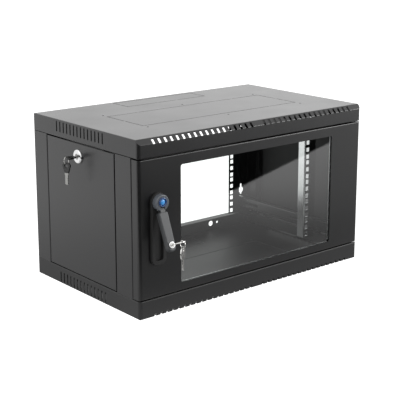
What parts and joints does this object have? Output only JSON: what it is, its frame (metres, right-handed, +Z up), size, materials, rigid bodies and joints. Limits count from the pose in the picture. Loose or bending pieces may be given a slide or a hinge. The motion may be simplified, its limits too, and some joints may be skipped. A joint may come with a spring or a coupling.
{
  "type": "wall mount network cabinet",
  "caption": "Small wall-mounted equipment cabinet with a glazed, lockable swing door, vented covers, two lift-off side panels, square-hole rack rails and an open rear.",
  "frame": {"origin": "centre of the cabinet body's bottom face", "axes": "+X to the right seen from the front, +Y back towards the wall, +Z up"},
  "size_m": [0.6403, 0.4472, 0.3473],
  "materials": {
    "black_powder_coat": "fine-texture powder coat on sheet steel",
    "zinc_plated_steel": "zinc plated",
    "bright_zinc_die_casting": "satin chrome plated die casting",
    "nickel_plated_steel": "nickel plated",
    "black_nylon": "moulded, fine spark texture",
    "grey_die_casting": "painted die casting",
    "blue_plastic": "gloss moulding",
    "foam_rubber": "closed-cell foam strip",
    "tinted_glass": "tempered, polished"
  },
  "bodies": {
    "cabinet": {"top_cover": "black_powder_coat", "bottom_cover": "black_powder_coat", "front_post_left": "black_powder_coat", "front_post_right": "black_powder_coat", "rear_post_left": "black_powder_coat", "rear_post_right": "black_powder_coat", "depth_bar_lower_left": "black_powder_coat", "depth_bar_lower_right": "black_powder_coat", "depth_bar_upper_left": "black_powder_coat", "depth_bar_upper_right": "black_powder_coat", "rack_rail_front_left": "zinc_plated_steel", "rack_rail_front_right": "zinc_plated_steel", "rack_rail_rear_left": "zinc_plated_steel", "rack_rail_rear_right": "zinc_plated_steel", "rail_bolts": "zinc_plated_steel", "rail_nuts": "zinc_plated_steel", "cover_screws": "zinc_plated_steel", "hinge_washer": "zinc_plated_steel"},
    "side_panel_left": {"side_panel_left": "black_powder_coat", "side_lock_body_left": "bright_zinc_die_casting", "side_lock_nut_left": "zinc_plated_steel"},
    "side_panel_right": {"side_panel_right": "black_powder_coat", "side_lock_body_right": "bright_zinc_die_casting", "side_lock_nut_right": "zinc_plated_steel"},
    "side_lock_left": {"side_lock_plug_left": "bright_zinc_die_casting", "side_lock_cam_left": "zinc_plated_steel", "side_cam_screw_left": "zinc_plated_steel", "side_key_blade": "nickel_plated_steel", "side_key_head": "black_nylon"},
    "side_lock_right": {"side_lock_plug_right": "bright_zinc_die_casting", "side_lock_cam_right": "zinc_plated_steel", "side_cam_screw_right": "zinc_plated_steel"},
    "side_ring": {"side_key_ring": "nickel_plated_steel"},
    "side_spare_key": {"side_spare_key_blade": "nickel_plated_steel", "side_spare_key_head": "black_nylon"},
    "door": {"door_frame": "black_powder_coat", "glass_seal": "foam_rubber", "door_glass": "tinted_glass", "glass_clamps": "zinc_plated_steel", "clamp_nuts": "zinc_plated_steel", "hinge_bracket": "zinc_plated_steel", "hinge_pin_lower": "zinc_plated_steel", "handle_base": "black_nylon", "handle_nut": "zinc_plated_steel", "handle_screw": "zinc_plated_steel"},
    "hinge_pin": {"hinge_pin_upper": "zinc_plated_steel", "hinge_spring": "zinc_plated_steel"},
    "handle": {"handle_head": "grey_die_casting", "handle_cap": "blue_plastic", "lever_pin": "zinc_plated_steel", "door_cam": "zinc_plated_steel", "door_cam_screw": "zinc_plated_steel"},
    "lever": {"handle_lever": "black_nylon", "lever_lock_barrel": "bright_zinc_die_casting"},
    "lever_lock": {"lever_lock_plug": "bright_zinc_die_casting", "handle_key": "nickel_plated_steel"},
    "handle_ring": {"handle_key_ring": "nickel_plated_steel"},
    "handle_spare": {"handle_spare_key": "nickel_plated_steel"}
  },
  "joints": [
    {"name": "side_panel_left_tilt", "type": "hinge", "parent": "cabinet", "child": "side_panel_left", "pos_m": [-0.3, 0, 0.038], "axis": [0, -1, 0], "range_deg": [0, 35]},
    {"name": "side_panel_right_tilt", "type": "hinge", "parent": "cabinet", "child": "side_panel_right", "pos_m": [0.3, 0, 0.038], "axis": [0, 1, 0], "range_deg": [0, 35]},
    {"name": "side_lock_left_turn", "type": "hinge", "parent": "side_panel_left", "child": "side_lock_left", "pos_m": [-0.3, 0.0151, 0.2842], "axis": [-1, 0, 0], "range_deg": [-90, 0]},
    {"name": "side_lock_right_turn", "type": "hinge", "parent": "side_panel_right", "child": "side_lock_right", "pos_m": [0.3, 0.0151, 0.2842], "axis": [-1, 0, 0], "range_deg": [-90, 0]},
    {"name": "side_ring_swing", "type": "hinge", "parent": "side_lock_left", "child": "side_ring", "pos_m": [-0.32835, 0.0151, 0.2842], "axis": [-0.9397, -0.342, 0], "range_deg": [-20, 20]},
    {"name": "side_spare_swing", "type": "hinge", "parent": "side_ring", "child": "side_spare_key", "pos_m": [-0.32835, 0.0151, 0.2728], "axis": [-0.9397, -0.342, 0], "range_deg": [-20, 20]},
    {"name": "door_swing", "type": "hinge", "parent": "cabinet", "child": "door", "pos_m": [0.2935, -0.1725, 0.17365], "axis": [0, 0, 1], "range_deg": [0, 180]},
    {"name": "hinge_pin_pull", "type": "slide", "parent": "door", "child": "hinge_pin", "axis": [0, 0, 1], "range_m": [-0.008, 0], "stiffness_N_per_m": 400, "springref_m": 0.006, "deforming": ["hinge_spring"]},
    {"name": "handle_turn", "type": "hinge", "parent": "door", "child": "handle", "pos_m": [-0.2572, -0.1815, 0.2265], "axis": [0, -1, 0], "range_deg": [0, 90]},
    {"name": "lever_pop", "type": "hinge", "parent": "handle", "child": "lever", "pos_m": [-0.2572, -0.19375, 0.214], "axis": [-1, 0, 0], "range_deg": [-23, 12], "stiffness_Nm_per_rad": 0.4, "springref_deg": 2.86},
    {"name": "lever_lock_turn", "type": "hinge", "parent": "lever", "child": "lever_lock", "pos_m": [-0.2572, -0.22712, 0.15266], "axis": [0, -0.9205, 0.3907], "range_deg": [0, 90]},
    {"name": "handle_ring_swing", "type": "hinge", "parent": "lever_lock", "child": "handle_ring", "pos_m": [-0.2572, -0.25782, 0.16569], "axis": [0, -1, 0], "range_deg": [-20, 20]},
    {"name": "handle_spare_swing", "type": "hinge", "parent": "handle_ring", "child": "handle_spare", "pos_m": [-0.2572, -0.25782, 0.15386], "axis": [0, -1, 0], "range_deg": [-20, 20]}
  ]
}
